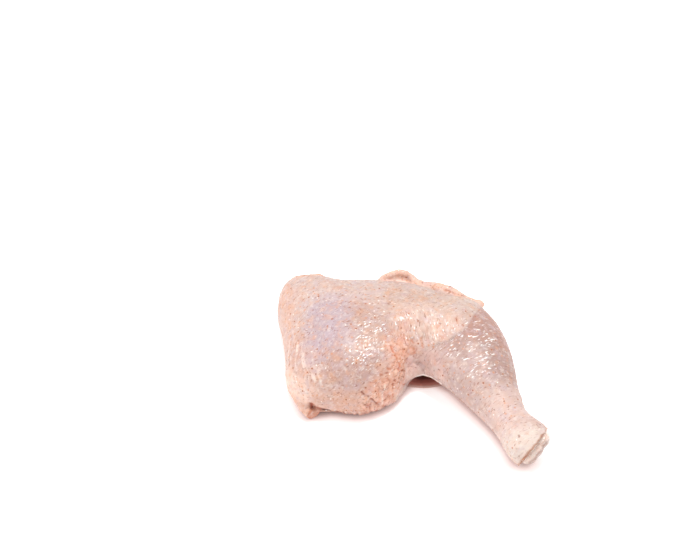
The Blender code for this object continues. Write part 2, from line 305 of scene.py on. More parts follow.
def cut_off(bm, point, normal):
    """Cuts away what lies on the normal's side of a plane, and returns the faces that close the cut."""
    plane_co = Vector(point) * MM
    direction = Vector(normal).normalized()
    for vert in bm.verts:
        if abs((vert.co - plane_co).dot(direction)) < CUT_CLEARANCE * MM:
            vert.co += direction * 2 * CUT_CLEARANCE * MM
    geometry = bm.verts[:] + bm.edges[:] + bm.faces[:]
    bmesh.ops.bisect_plane(bm, geom=geometry, dist=1e-6, plane_co=plane_co, plane_no=normal, clear_outer=True)
    kept = largest_part(bm)
    bmesh.ops.delete(bm, geom=[face for face in bm.faces if face not in kept], context="FACES")
    return bmesh.ops.holes_fill(bm, edges=[edge for edge in bm.edges if edge.is_boundary])["faces"]


body = bmesh.new()
thigh_mass(body)
limb(body, DRUMSTICK, DRUMSTICK_SIDES)
for centre, radii, degrees in (KNEE, KNEE_ANGLE):
    ellipsoid(body, centre, radii, Matrix.Rotation(math.radians(degrees), 4, "Z"))
meat = new_object("meat", body)
one_skin(meat, BODY_VOXEL, BODY_ROUNDS)

folds = bmesh.new()
folds.from_mesh(meat.data)
bpy.data.objects.remove(meat)
for fold in (SKIN_ROLL, SKIN_FLAP, HIP_LIP, CORNER_ROLL, WEB_SKIN):
    limb(folds, fold, THIN_SIDES)
ellipsoid(folds, *WEB_SHADOW_MASS, Matrix.Identity(4))
leg = new_object("leg_skin_and_meat", folds)
one_skin(leg, LEG_VOXEL, LEG_ROUNDS)
for depth, width, points in RELIEF:
    pressed(leg, depth, width, points)

# Where the skin looks different.  Each zone is named for what lies there, with its reach, its tone, how much of
# that shows, and a line through its middle: hip muscle shows lilac through thin skin, fat makes skin cream,
# blood near the surface flushes it orange, and no fat lies in the knee's angle.
SKIN_TONE = "#cab2aa"
ZONES = {
    "outer_rim": (10.0, "#d4ab9a", 0.8, ((-37.0, 68.0, 25.0), (-36.0, 47.0, 22.0), (-33.0, 20.0, 22.0))),
    "middle": (12.0, "#bc9d92", 0.9, ((4.0, 36.0, 42.0), (14.0, 17.0, 39.0), (26.0, 30.0, 41.0))),
    "fat": (13.0, "#c4a799", 0.9, ((27.0, 52.0, 41.0), (44.0, 50.0, 40.0), (58.0, 50.0, 38.0))),
    "fat_right": (8.0, "#cbb3a6", 0.8, ((51.0, 51.0, 38.5), (62.0, 50.0, 38.5))),
    "wrinkled": (12.0, "#d3b5a7", 1.0, ((36.0, 37.0, 40.0), (44.0, 35.0, 38.0), (50.0, 32.0, 37.0))),
    "muscle": (13.0, "#baa5aa", 1.0, ((-12.0, 42.0, 40.0), (-13.0, 27.0, 39.0), (-15.0, 17.0, 35.0))),
    "low_muscle": (11.0, "#ba9a91", 1.0, ((-8.0, 4.0, 31.0), (-1.0, 2.0, 29.0), (8.0, 4.0, 31.0))),
    "stretched": (9.0, "#cba699", 0.9, ((-31.5, 25.0, 27.0), (-27.0, 7.5, 27.0), (-21.0, -1.0, 25.0))),
    "lower_left": (8.0, "#eecbba", 0.9, ((-33.0, 12.0, 15.0), (-28.0, 0.0, 18.0), (-22.0, -3.0, 16.0))),
    "lower_front": (8.0, "#d3a694", 0.9, ((-15.0, -3.0, 12.0), (-4.0, -3.0, 13.0), (8.0, -2.0, 14.0))),
    "flush": (11.0, "#e6b5a0", 1.0, ((14.0, 1.0, 15.0), (21.0, 3.0, 18.0), (27.0, 9.0, 22.0), (28.0, 18.0, 31.0))),
}
# The drumstick's skin is thin and shows its muscle mauve, paler down to the shank, and cream over the hock.
THIN_TONE = "#ae9189"
THIN_ZONES = {
    "calf_top": (12.0, "#ad877d", 1.0, ((68.0, 34.0, 38.0), (76.0, 42.0, 33.0), (83.0, 32.0, 27.0))),
    "calf_low": (12.0, "#c3a8a1", 0.9, ((46.0, 17.0, 24.0), (60.0, 4.0, 24.0), (72.0, -7.0, 18.0))),
    "shank": (14.0, "#d3b9b0", 1.0, ((82.0, -12.0, 18.0), (88.0, -24.0, 16.0), (93.0, -32.0, 14.0))),
    "hock": (8.0, "#dac8bd", 1.0, ((85.0, -36.0, 18.0), (92.0, -41.0, 20.0), (97.0, -36.0, 22.0))),
    "web": (9.0, "#e2c3ba", 1.0, ((31.0, 18.0, 18.0), (38.0, 22.0, 20.0), (46.0, 18.0, 20.0))),
}
ZONE_SOFTNESS = 0.55
ZONE_WANDER = 3.5
# The skin's rolled and lipped edges: reach, tone and line.
EDGE_TONES = (
    # The inner skin under the roll is paler, partly painted light where the roll shades it.
    (4.5, "#edd0c2", [(x, y, z + tall / 2) for x, y, z, _, tall in SKIN_FLAP[:5]]),
    (3.0, "#e2bba8", [station[:3] for station in SKIN_ROLL]),
    (2.4, "#d9946f", [station[:3] for station in HIP_LIP]),
    (4.0, "#d8ac98", ((-31.0, 84.6, 26.5), (-26.0, 83.0, 29.8), (-21.5, 81.6, 31.9), (-17.0, 80.2, 32.6))),
    (6.0, "#dcae98", [station[:3] for station in CORNER_ROLL]),
    (0.55, "#efd3c4", ((18.7, 1.6, 23.6), (18.2, 1.9, 19.9), (17.1, 0.6, 16.0), (17.2, 0.4, 10.2))),
)
# The pale line along the web's free edge: a painted highlight.
WEB_RIM_HIGHLIGHT = ((33.2, 19.6, 10.4), (36.7, 21.5, 10.6), (40.0, 22.0, 11.0), (43.2, 21.7, 10.8), (46.3, 18.7, 11.4), (49.5, 14.5, 12.2))
# Tan patches of skin left by the feather tracts, as their middle and radius.
TAN_TONE = "#c98f6b"
TAN_PATCHES = (
    ((4.3, 39.2, 41.9), 2.2), ((3.8, 45.1, 41.8), 1.6), ((-9.6, 3.0, 29.2), 1.4), ((-29.3, 26.2, 29.6), 2.0),
    ((-6.0, 62.0, 40.0), 2.4), ((-12.0, 67.0, 37.0), 1.8), ((-26.0, 58.0, 34.0), 1.6), ((14.0, 24.0, 40.5), 1.8),
    ((24.0, 20.0, 38.0), 1.6), ((40.0, 52.0, 40.5), 2.2), ((56.0, 44.0, 38.5), 1.6), ((-17.0, 2.0, 28.0), 1.2),
)
# The rolled corner ends in a round face, given as its middle and radius.
ROLL_END = ((-19.3, -1.6, 5.3), 3.8)

# Fold lines, painted shade in each crease and partly the fold's own redder colour where blood lies in it: width, tone
# and line of each.
CREASE_REACH = 2.5
DEEP_FOLD = 1.0
DARK_FOLDS = (
    (1.0, "#5a190d", ((-20.4, -1.6, 9.8), (-18.3, -1.7, 8.4), (-12.9, -0.9, 6.8), (-8.1, -0.8, 4.6), (-2.7, -2.1, 5.0))),
    (1.0, "#a8523a", ((-21.0, -1.2, 11.4), (-20.3, -1.6, 10.0))),
    (0.5, "#bd7757", ((44.7, 68.3, 33.4), (48.3, 69.9, 31.8), (51.0, 69.3, 32.1), (54.3, 67.5, 32.5), (58.7, 65.6, 32.3))),
    (1.0, "#45100a", ((33.6, 21.4, 8.4), (36.7, 23.0, 8.3), (40.0, 23.6, 8.4), (43.3, 22.6, 8.1), (46.4, 19.4, 8.8), (49.5, 15.2, 9.9))),
    (0.6, "#8f4a36", ((6.1, -2.6, 22.4), (8.0, -2.9, 20.5), (9.6, -2.9, 18.7), (12.3, -1.5, 14.7), (15.3, -0.3, 11.2))),
    (0.4, "#a4604e", ((6.9, -3.7, 15.7), (8.6, -3.4, 13.2))),
    (0.4, "#b5705c", ((6.4, -3.8, 10.6), (8.6, -2.4, 6.9))),
    (0.6, "#cd7c60", ((21.9, 16.4, 37.1), (23.0, 14.3, 35.3), (25.1, 13.1, 32.1), (26.8, 11.6, 27.6))),
    (0.5, "#cd7c60", ((24.1, 9.6, 28.8), (26.8, 10.7, 26.3))),
    (0.5, "#cb7b5e", ((10.9, 0.0, 26.4), (13.3, 0.7, 26.6), (18.1, 2.1, 24.5))),
    (0.45, "#c77757", ((19.7, 6.6, 30.9), (21.3, 7.0, 29.5), (23.5, 8.6, 29.0), (26.2, 10.0, 26.6), (29.7, 15.2, 20.2))),
    (0.45, "#a9604a", ((16.2, 3.3, 28.9), (18.6, 4.5, 29.2), (20.2, 5.5, 28.6))),
    (0.45, "#cb7b5e", ((20.3, 4.0, 25.4), (23.1, 5.5, 19.5), (25.9, 7.8, 14.2))),
    (0.45, "#cb7b5e", ((21.0, 4.6, 24.6), (27.0, 10.3, 17.0), (29.9, 14.8, 10.5))),
    (0.4, "#b0603c", ((57.2, 35.5, 40.8), (58.3, 30.7, 40.0))),
    (0.4, "#b0603c", ((60.4, 33.0, 40.2), (61.2, 30.2, 39.6))),
    (0.4, "#d38a70", ((14.9, 0.6, 22.0), (15.0, -0.9, 17.5), (15.0, -0.5, 11.1))),
    (0.4, "#d38a70", ((23.1, 4.9, 16.3), (23.2, 5.8, 10.9), (22.7, 5.1, 8.6))),
    (0.7, "#cf8d74", ((33.5, 26.5, 32.9), (34.1, 23.3, 28.5), (34.6, 21.0, 25.8))),
    (0.7, "#cf8d74", ((28.0, 23.5, 35.7), (29.0, 18.5, 31.5), (30.2, 18.3, 25.8))),
    (0.6, "#d28c6c", ((38.4, 27.1, 33.9), (39.5, 23.9, 29.4))),
    (0.45, "#b98477", ((34.8, 20.4, 25.0), (37.2, 20.2, 20.5), (40.3, 21.4, 14.5))),
)
FOLDED_SKIN = ((31.0, 31.0, 38.0), (40.0, 33.0, 37.5), (48.0, 33.0, 37.5))
WET_PLACES = (
    ((6.0, 11.0, 38.4), (12.0, 15.0, 39.8), (12.0, 24.0, 41.3)),
    ((52.8, 25.6, 37.4), (58.0, 20.0, 36.0), (64.5, 28.0, 39.0), (69.9, 21.1, 37.5), (64.0, 14.7, 35.0), (70.3, 8.8, 33.2)),
)
# The thigh's fat skin ends at this line seen from above, and the drumstick's thin skin starts.
FAT_SKIN_END = (
    (77.0, 70.0), (73.0, 55.0), (69.6, 45.8), (66.4, 38.3), (63.9, 32.3), (60.4, 28.4), (56.5, 25.4), (52.8, 23.6),
    (48.5, 24.1), (45.9, 23.8), (43.2, 23.4), (40.0, 22.4), (36.8, 21.2), (33.6, 20.2), (29.5, 15.0), (28.5, -20.0),
)
SKIN_THICKNESS = 0.9


def linear(code):
    """The linear colour of an sRGB hex code."""
    shares = [int(code[place:place + 2], 16) / 255 for place in (1, 3, 5)]
    return (*(s / 12.92 if s <= 0.04045 else ((s + 0.055) / 1.055) ** 2.4 for s in shares), 1.0)


def rippled(places, size, seed=0.0):
    """Soft noise from -1 to 1 at each place, with features of this size along each axis."""
    scaled = places / size + seed
    return np.array([noise.noise(place) for place in scaled.tolist()])


def creased(places, size, seed=0.0):
    """Rounded folds from 0 to 1 with sharp valleys between, of this size along each axis."""
    return np.clip(np.abs(rippled(places, size, seed)) * 2.4, 0.0, 1.0)


def turned(places, degrees):
    """The places seen from an object turned about the upright axis."""
    return places @ np.array(Matrix.Rotation(math.radians(degrees), 3, "Z"))


def soft_step(values, low, high):
    share = np.clip((values - low) / (high - low), 0.0, 1.0)
    return share * share * (3.0 - 2.0 * share)


def beyond_line(places, points):
    """How far each place is past a line of points seen from above, less than nothing on its near side."""
    flat = places[:, :2]
    best = np.full(len(flat), np.inf)
    signed = np.zeros(len(flat))
    for start, end in zip(np.array(points), np.array(points)[1:]):
        step = end - start
        share = np.clip((flat - start) @ step / (step @ step), 0.0, 1.0)
        away = flat - start - share[:, None] * step
        near = np.linalg.norm(away, axis=1)
        side = np.sign(away[:, 1] * step[0] - away[:, 0] * step[1])
        nearer = near < best
        best[nearer] = near[nearer]
        signed[nearer] = (near * side)[nearer]
    return signed


def scattered(places, apart, rng):
    """Some of the places, none nearer to another than apart."""
    cells = {}
    kept = []
    neighbours = [(i, j, k) for i in (-1, 0, 1) for j in (-1, 0, 1) for k in (-1, 0, 1)]
    keys = np.floor(places / apart).astype(int).tolist()
    points = places.tolist()
    for index in rng.permutation(len(points)).tolist():
        x, y, z = keys[index]
        around = [other for i, j, k in neighbours for other in cells.get((x + i, y + j, z + k), ())]
        if all(math.dist(points[index], points[other]) >= apart for other in around):
            cells.setdefault((x, y, z), []).append(index)
            kept.append(index)
    return kept


rng = np.random.default_rng(41)
places = read(leg.data.vertices, "co") / MM
normals = read(leg.data.vertex_normals, "vector")
wander = np.stack([rippled(places, 7.0, seed) for seed in (3.1, 11.7, 23.3)], axis=1)
strayed = places + wander * ZONE_WANDER


def near_line(places, points, reach, softness):
    """1 near a line of points and 0 past its reach."""
    return 1.0 - soft_step(line_distance(places, points), reach * (1 - softness), reach * (1 + softness))


def tinted(tone, share, code):
    """The tone at each place moved towards one colour by a share."""
    return tone + (np.array(linear(code)[:3]) - tone) * share[:, None]


masks = {}
tone = np.tile(np.array(linear(SKIN_TONE)[:3]), (len(places), 1))
for name, (reach, code, strength, points) in ZONES.items():
    masks[name] = near_line(strayed, points, reach, ZONE_SOFTNESS)
    tone = tinted(tone, masks[name] * strength, code)
thin_tone = np.tile(np.array(linear(THIN_TONE)[:3]), (len(places), 1))
for name, (reach, code, strength, points) in THIN_ZONES.items():
    masks[name] = near_line(strayed, points, reach, ZONE_SOFTNESS)
    thin_tone = tinted(thin_tone, masks[name] * strength, code)
wet = np.max([near_line(places + wander * 2.0, points, 9.0, 0.6) for points in WET_PLACES], axis=0)

past_fat = beyond_line(places + wander * 0.7, FAT_SKIN_END)
masks["thin"] = soft_step(past_fat, -0.7, 0.7)
in_angle = soft_step(places[:, 0], 28.5, 30.5) * soft_step(places[:, 1], 40.0, 34.0)
masks["thin"] = np.maximum(masks["thin"], in_angle * soft_step(places[:, 2] + wander[:, 2] * 1.2, 26.6, 25.4))
tone += (thin_tone - tone) * masks["thin"][:, None]

# Raw meat shows below, inside the skin's edge, and on the back wall under the rolled edge and the lip.
outward = places[:, :2] - THIGH_CENTRE
share_out = np.hypot(*outward.T) / np.array([reach_at(angle) for angle in np.arctan2(outward[:, 1], outward[:, 0])])
below = soft_step(-normals[:, 2], 0.2, 0.6) * soft_step(SKIN_EDGE_BELOW - share_out + wander[:, 0] * 0.04, -0.01, 0.01)
EDGE_AT_BACK = ((-40.0, 15.0), (-33.0, 21.5), (-24.0, 24.0), (-12.0, 22.0), (10.0, 21.0), (28.0, 20.0), (50.0, 17.0), (64.0, 12.0), (72.0, 6.0))
edge_height = np.interp(places[:, 0], *np.array(EDGE_AT_BACK).T)
behind = soft_step(normals[:, 1], 0.15, 0.35) * soft_step(places[:, 1], 52.0, 56.0)
behind *= soft_step(edge_height + wander[:, 1] * 2.2 - places[:, 2], -0.4, 0.4)
masks["raw"] = np.maximum(below, behind)

# Follicles stand in goose pimples, longer along the leg's grain.
PIMPLE_GRAIN = np.array((1.0, 0.72, 0.85))
PIMPLE_SPACING = 2.5
PIMPLE_RADIUS = 0.62
PIMPLE_HEIGHT = 0.34
grained = places * PIMPLE_GRAIN
chosen = scattered(grained, PIMPLE_SPACING, rng)
sizes = rng.uniform(0.0, 1.0, len(chosen)) ** 1.8
tree = kdtree.KDTree(len(chosen))
for number, index in enumerate(chosen):
    tree.insert(grained[index], number)
tree.balance()
found = [tree.find(place) for place in grained.tolist()]
near_pimple = np.array([distance for _, _, distance in found])
masks["pimple"] = np.exp(-((near_pimple / PIMPLE_RADIUS) ** 2)) * sizes[[number for _, number, _ in found]]

# Height of every small form above the smooth surface.
SHANK_AXIS = Vector((0.42, -0.9, -0.12)).normalized()
SHANK_SIDE = SHANK_AXIS.cross(Vector((0, 0, 1))).normalized()
shank_frame = np.array((SHANK_AXIS, SHANK_SIDE, SHANK_AXIS.cross(SHANK_SIDE)))
CORNER = np.array((-21.0, -4.0, 6.0))
from_corner = places - CORNER
corner_distance = np.linalg.norm(from_corner, axis=1)[:, None]
skin = 1.0 - masks["raw"]
height = 0.42 * rippled(places, 13.0) + 0.2 * rippled(places, 5.6, 5.0)
height += (0.14 + 0.12 * wet * (1.0 - masks["thin"])) * rippled(places, 1.45, 9.0) * skin
strokes = sum(1.0 - creased(turned(places + wander, angle), (2.8, 1.0, 1.3), angle) for angle in (35.0, 100.0))
height += (0.06 + 0.1 * wet * (1.0 - masks["thin"])) * strokes * skin
height += PIMPLE_HEIGHT * masks["pimple"] * skin * (0.55 + 0.45 * soft_step(rippled(places, 19.0, 31.0), -0.4, 0.4))
leaning = places + wander * 0.5
leaning[:, 0] += 0.16 * (places[:, 1] - 33.0)
folded = near_line(places + wander, FOLDED_SKIN, 10.0, 0.45) * (1.0 - masks["thin"])
dashes = soft_step(rippled(leaning, (1.35, 4.6, 4.6), 2.0), 0.08, 0.34)
pleats = rippled(leaning, (4.6, 26.0, 26.0), 19.0)
height += folded * (0.35 * dashes + 0.7 * pleats)
from_bulge = places + wander - (11.0, 14.0, 34.0)
lumps = creased(from_bulge / np.linalg.norm(from_bulge, axis=1)[:, None], (0.2, 0.2, 0.2), 14.0)
lumps *= 0.6 + 0.4 * creased(places, (6.0, 6.0, 6.0), 33.0)
height += masks["flush"] * (1.0 - masks["thin"]) * (0.6 * lumps - 0.25)
creasing = np.abs(rippled(turned(places + wander, -30.0), (2.2, 6.0, 4.0), 61.0))
creasing = soft_step(creasing, 0.07, 0.02) * soft_step(rippled(places, 4.5, 63.0), -0.3, 0.05)
height -= 0.5 * creasing * masks["flush"] * skin
hem = soft_step(places[:, 2], 11.0, 5.0) * soft_step(places[:, 1], 14.0, 8.0) * soft_step(places[:, 0], -14.0, -9.0) * soft_step(places[:, 0], 46.0, 34.0)
height += hem * (1.0 * creased(places, (3.2, 3.2, 9.0), 37.0) - 0.5)
drawn = places + wander * 0.5
drawn[:, 0] += 0.4 * places[:, 2]
drawn = soft_step(rippled(drawn, (1.5, 9.0, 6.5), 4.0), 0.1, 0.42)
pulled = masks["stretched"] * soft_step(corner_distance[:, 0], 5.0, 12.0)
height += pulled * 0.45 * drawn
along_shank = places @ shank_frame.T + wander * 0.6
rings = rippled(along_shank, (1.25, 4.5, 4.5), 6.0)
height += masks["thin"] * skin * rings * (0.1 + 0.16 * wet)
height += 1.1 * soft_step(past_fat, 1.2, -0.8) * soft_step(places[:, 2], 16.0, 26.0) * masks["wrinkled"]
height -= SKIN_THICKNESS * masks["raw"]
bundles = creased(places, (9.0, 3.4, 3.0), 8.0)
height += masks["raw"] * (0.9 * bundles - 0.5)
waver = np.stack([rippled(places, 2.8, seed) for seed in (83.0, 87.0, 89.0)], axis=1)
strayed = places + wander * 0.4 + waver * 0.5
broken = 0.3 + 0.7 * soft_step(rippled(places, 2.6, 91.0), -0.3, 0.2)
shares = []
for width, _, line in DARK_FOLDS:
    share = np.exp(-((crease_distance(strayed, normals, line) / width) ** 2))
    shares.append(share if width >= DEEP_FOLD else share * broken)
height -= 0.4 * np.max(shares, axis=0)
# Painted shade: the skin is darkened wherever the surface lies low, in creases and hollows.
masks["crease"] = np.clip(-0.8 * height, 0.0, 0.6) * skin
for reach, code, points in EDGE_TONES:
    tone = tinted(tone, near_line(places + wander * 0.3, points, reach, 0.25 + 0.06 * reach), code)
for middle, radius in TAN_PATCHES:
    spread = np.linalg.norm(places + wander * 1.6 - middle, axis=1) / radius
    tone = tinted(tone, 0.5 * np.exp(-(spread**2)), TAN_TONE)
roll_axis = np.array((Vector(CORNER_ROLL[-1][:3]) - Vector(CORNER_ROLL[-2][:3])).normalized())
mottle = rippled(places, 4.2, 51.0) + 0.6 * rippled(places, 1.9, 57.0)
tone = tinted(tone, 0.4 * soft_step(mottle, 0.0, 0.8) * (1.0 - 0.5 * masks["thin"]), "#dba687")
tone = tinted(tone, 0.4 * soft_step(-mottle, 0.0, 0.8), "#c6b1b8")
# Painted highlights on the raised dashes of the folded skin, and painted shade in the valleys of its pleats.
tone = tinted(tone, 0.35 * folded * dashes, "#f1dfd3")
tone = tinted(tone, 0.4 * folded * soft_step(-pleats, 0.05, 0.4), "#d0937c")
# Painted highlights on the raised streaks of the stretched skin.
tone = tinted(tone, 0.7 * pulled * drawn, "#ecd7cc")
# In the flushed skin: painted shade, partly the skin's own redder colour, in the hollows between the lumps and in the
# grooves, and painted highlights on the lumps' tops.
tone = tinted(tone, 0.4 * masks["flush"] * soft_step(lumps, 0.3, 0.05), "#cb8369")
tone = tinted(tone, 0.35 * masks["flush"] * soft_step(lumps, 0.5, 0.95), "#ebc6b2")
tone = tinted(tone, 0.85 * masks["flush"] * creasing, "#b05c44")
# Painted shade in the low places.
tone = tinted(tone, 0.45 * masks["crease"], "#b06a55")
# The fold lines tint the skin: painted shade in the creases, partly their own redder colour.
for share, (_, code, _) in zip(shares, DARK_FOLDS):
    tone = tinted(tone, 0.9 * share * skin, code)
# Painted shade: the skin is darker and redder where it turns under.
underside_shade = soft_step(-normals[:, 2], 0.22, 0.72) * skin
tone = tinted(tone, 0.7 * underside_shade, "#94523f")
# Painted highlight along the web's free edge.
tone = tinted(tone, near_line(places + wander * 0.2, WEB_RIM_HIGHLIGHT, 1.0, 0.3), "#fdece4")
ring_plane = (places - ROLL_END[0]) @ roll_axis
ring_reach = np.linalg.norm(places - ROLL_END[0] - ring_plane[:, None] * roll_axis, axis=1)
roll_face = soft_step(ring_plane, -1.2, -0.4) * soft_step(ring_reach, ROLL_END[1] + 1.2, ROLL_END[1]) * soft_step(normals @ roll_axis, 0.35, 0.7)
tone = tinted(tone, 0.8 * roll_face, "#c98e79")
# A darker ring round the end face: painted shade at its edge.
ring = np.exp(-(((ring_reach - ROLL_END[1]) / 0.5) ** 2)) * soft_step(ring_plane, -1.6, -0.6)
tone = tinted(tone, 0.7 * ring, "#b5694f")
# The pimples' tops are paler, partly their own colour and partly painted highlights.
tone = tinted(tone, 0.3 * masks["pimple"] * skin, "#f0e2d8")

from_web = np.linalg.norm((places - WEB_SHADOW_MASS[0]) / WEB_SHADOW_MASS[1], axis=1)
masks["web_meat"] = soft_step(from_web, 1.12, 1.04) * soft_step(places[:, 1], 38.0, 34.0)
# Painted shadow under the web's edge: darkest at the top, paler down to the floor.
tone = tinted(tone, masks["web_meat"], "#a9695c")
tone = tinted(tone, masks["web_meat"] * soft_step(places[:, 2], 2.6, 4.0), "#8a473c")
tone = tinted(tone, masks["web_meat"] * soft_step(places[:, 2], 4.2, 5.4), "#4f1a12")
tone = tinted(tone, masks["web_meat"] * soft_step(places[:, 2], 2.4, 0.4), "#d3b3a9")

# The hock's skin dries to a brown edge a little short of the cut, with bare pink tissue beyond it.
past_hock = (places - HOCK_CUT_POINT) @ np.array(Vector(HOCK_CUT_NORMAL).normalized()) + wander[:, 1] * 0.5
near_hock = line_distance(places, ((88.0, -20.0, 11.2), (98.0, -38.0, 12.0))) < 20.0
past_hock += 0.8 * rippled(places, 2.4, 71.0)
tone = tinted(tone, 0.6 * soft_step(past_hock, -1.5, -0.8) * near_hock, "#d6b39f")
dried = np.exp(-(((past_hock + 0.3) / 0.5) ** 2)) * near_hock
tone = tinted(tone, 0.85 * dried * soft_step(rippled(places, 5.0, 73.0), -0.6, -0.2), "#91563a")
tone *= 0.965
write_places(leg, places + normals * height[:, None])

wet = np.maximum(wet, 0.75 * folded * soft_step(rippled(places, 5.0, 81.0), -0.35, 0.15))
wet = (wet - 0.8 * np.max(shares, axis=0)).astype(np.float32)
leg.data.attributes.new("wet", "FLOAT", "POINT").data.foreach_set("value", wet)
leg.data.attributes.new("raw", "FLOAT", "POINT").data.foreach_set("value", masks["raw"].astype(np.float32))
marked = (1.0 - masks["web_meat"]).astype(np.float32)
leg.data.attributes.new("marked", "FLOAT", "POINT").data.foreach_set("value", marked)
THIGH_GRAIN = 38.0
GRAIN_STRETCH = 4.2
thigh_grain = turned(places + wander, THIGH_GRAIN) / (GRAIN_STRETCH, 1.0, 1.0)
folded_middle = np.array(FOLDED_SKIN[1])
folded_grain = (leaning - folded_middle) / (1.0, GRAIN_STRETCH, GRAIN_STRETCH)
folded_grain += turned(folded_middle, THIGH_GRAIN) / (GRAIN_STRETCH, 1.0, 1.0)
thigh_grain += (folded_grain - thigh_grain) * soft_step(folded, 0.1, 0.7)[:, None]
shank_grain = along_shank / (1.0, GRAIN_STRETCH, GRAIN_STRETCH)
grain = (thigh_grain + (shank_grain - thigh_grain) * masks["thin"][:, None]) * MM
leg.data.attributes.new("grain", "FLOAT_VECTOR", "POINT").data.foreach_set("vector", grain.astype(np.float32).ravel())
painted = np.concatenate([np.clip(tone, 0.0, 1.0), np.ones((len(tone), 1))], axis=1).astype(np.float32)
leg.data.attributes.new("tone", "FLOAT_COLOR", "POINT").data.foreach_set("color", painted.ravel())

# The hock is cut at a slant: the skin's cut edge is a thin ragged rim round a shallow hollow of sinew.
HOLLOW_STEPS = ((0.95, 0.0), (0.93, -0.5), (0.85, 0.9), (0.7, 0.5))
cut_direction = Vector(HOCK_CUT_NORMAL).normalized()
cutting = bmesh.new()
cutting.from_mesh(leg.data)
cut_faces = cut_off(cutting, HOCK_CUT_POINT, HOCK_CUT_NORMAL)
cut_middle = sum((vert.co for vert in cut_faces[0].verts), Vector()) / len(cut_faces[0].verts)
for scale, depth in HOLLOW_STEPS:
    made = bmesh.ops.extrude_face_region(cutting, geom=cut_faces)["geom"]
    bmesh.ops.delete(cutting, geom=cut_faces, context="FACES_ONLY")
    cut_faces = [item for item in made if isinstance(item, bmesh.types.BMFace)]
    ring = [item for item in made if isinstance(item, bmesh.types.BMVert)]
    bmesh.ops.scale(cutting, vec=(scale,) * 3, space=Matrix.Translation(-cut_middle), verts=ring)
    bmesh.ops.translate(cutting, vec=cut_direction * depth * MM, verts=ring)
cut_off(cutting, (0, 0, 0), (0, 0, -1))
bmesh.ops.triangulate(cutting, faces=[face for face in cutting.faces if len(face.verts) > 4])
cutting.to_mesh(leg.data)
cutting.free()

for polygon in leg.data.polygons:
    polygon.use_smooth = True
leg.data.transform(Matrix.Translation((-ORIGIN[0] * MM, -ORIGIN[1] * MM, 0.0)))


def add(tree, kind, inputs, **settings):
    """A node with its settings, each input set to a value or linked to another node's output."""
    made = tree.nodes.new("ShaderNode" + kind)
    for name, value in settings.items():
        setattr(made, name, value)
    for name, value in inputs.items():
        if isinstance(value, bpy.types.NodeSocket):
            tree.links.new(value, made.inputs[name])
        else:
            made.inputs[name].default_value = value
    return made


def new_material(name):
    """A material with its node tree and its shader."""
    material = bpy.data.materials.new(name)
    material.use_nodes = True
    return material, material.node_tree, material.node_tree.nodes["Principled BSDF"]


# Raw poultry skin: a thin, wet, translucent film over fat and muscle.  Light goes a few millimetres into it and
# comes back pink, and water on it gives small sharp glints, to which white strokes in its wet places add painted
# glints.
skin_material, tree, shader = new_material("raw_poultry_skin")
where = add(tree, "TexCoord", {}).outputs["Object"]
skin_tone = add(tree, "Attribute", {}, attribute_name="tone").outputs["Color"]
marked = add(tree, "Attribute", {}, attribute_name="marked").outputs["Fac"]
laid = add(tree, "Attribute", {}, attribute_name="grain").outputs["Vector"]
specks = add(tree, "TexNoise", {"Vector": where, "Scale": 1 / (3.0 * MM), "Detail": 3.0, "Roughness": 0.6}).outputs["Fac"]
threads = add(tree, "TexNoise", {"Vector": laid, "Scale": 1 / (0.9 * MM), "Detail": 2.0, "Roughness": 0.6}).outputs["Fac"]
wrinkles = add(tree, "TexNoise", {"Vector": laid, "Scale": 1 / (1.5 * MM), "Detail": 0.5}).outputs["Fac"]
wrinkles = add(tree, "Math", {0: wrinkles, 1: 0.5}, operation="SUBTRACT").outputs[0]
wrinkles = add(tree, "Math", {0: wrinkles}, operation="ABSOLUTE").outputs[0]
patches = add(tree, "TexNoise", {"Vector": where, "Scale": 1 / (2.2 * MM), "Detail": 1.0}).outputs["Fac"]
painted_glints = add(tree, "TexNoise", {"Vector": laid, "Scale": 1 / (0.68 * MM), "Detail": 1.0, "Distortion": 0.5}).outputs["Fac"]
painted_glints = add(tree, "Math", {0: patches, 1: 0.5, 2: painted_glints}, operation="MULTIPLY_ADD").outputs[0]
wetness = add(tree, "Attribute", {}, attribute_name="wet").outputs["Fac"]
pores = add(tree, "TexVoronoi", {"Vector": where, "Scale": 1 / (2.6 * MM)})
luck = add(tree, "SeparateColor", {"Color": pores.outputs["Color"]}).outputs["Red"]
colour = skin_tone
for code, values, low, high, gate, strength in (
    ("#d1987a", specks, 0.56, 0.72, None, 0.4),
    ("#e0d0c8", specks, 0.45, 0.33, None, 0.4),
    ("#94604f", threads, 0.4, 0.28, None, 0.46),
    ("#f6ebe4", threads, 0.62, 0.72, None, 0.4),
    ("#8c5646", wrinkles, 0.036, 0.012, (patches, 0.53, 0.6), 0.62),
    # Pale dots on some follicles: partly their own colour, partly painted highlights.
    ("#fbf3ee", pores.outputs["Distance"], 0.19, 0.12, (luck, 0.65, 0.9), 0.75),
    ("#cf8c64", pores.outputs["Distance"], 0.32, 0.16, (luck, 0.3, 0.26), 0.6),
    ("#8a5342", pores.outputs["Distance"], 0.19, 0.13, (luck, 0.13, 0.11), 0.9),
    # White strokes in the wet places: painted glints.
    ("#ffffff", painted_glints, 0.9, 0.94, (wetness, 0.25, 0.8), 0.9),
):
    share = add(tree, "MapRange", {"Value": values, "From Min": low, "From Max": high, "To Max": strength}).outputs[0]
    share = add(tree, "Math", {0: share, 1: marked}, operation="MULTIPLY").outputs[0]
    if gate:
        chosen = add(tree, "MapRange", {"Value": gate[0], "From Min": gate[1], "From Max": gate[2]}).outputs[0]
        share = add(tree, "Math", {0: share, 1: chosen}, operation="MULTIPLY").outputs[0]
    colour = add(tree, "Mix", {0: share, 6: colour, 7: linear(code)}, data_type="RGBA").outputs[2]
